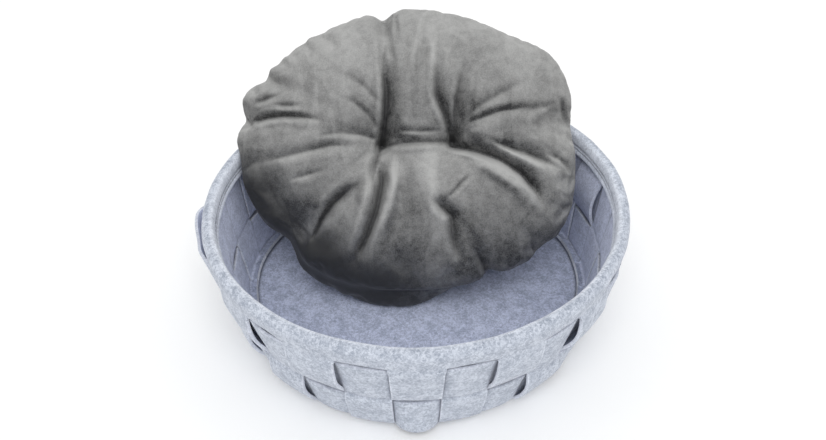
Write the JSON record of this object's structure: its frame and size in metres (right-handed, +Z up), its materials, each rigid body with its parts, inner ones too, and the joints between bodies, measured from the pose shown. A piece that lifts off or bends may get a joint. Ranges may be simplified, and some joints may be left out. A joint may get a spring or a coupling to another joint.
{
  "type": "round pet bed",
  "caption": "Round open bowl woven from thick felt straps and bands with a folded rim, holding a loose tufted plush cushion that leans on the rim; a small pet lies in it.",
  "frame": {"origin": "middle of the floor's underside, where the bed stands", "axes": "+Z up; the open front of the bowl, where the cushion's lower edge lies, faces -Y; +X to the right seen from the front"},
  "size_m": [0.4133, 0.4017, 0.2457],
  "materials": {
    "felt": "heathered light blue-grey pressed felt, matt, with fine darker fibres",
    "plush": "mid grey short-pile plush with a soft sheen on the folds"
  },
  "bodies": {
    "root": {"wall_panel": "felt", "weaver_upper": "felt", "weaver_lower": "felt", "floor_disc": "felt", "cushion": "plush"}
  },
  "joints": []
}
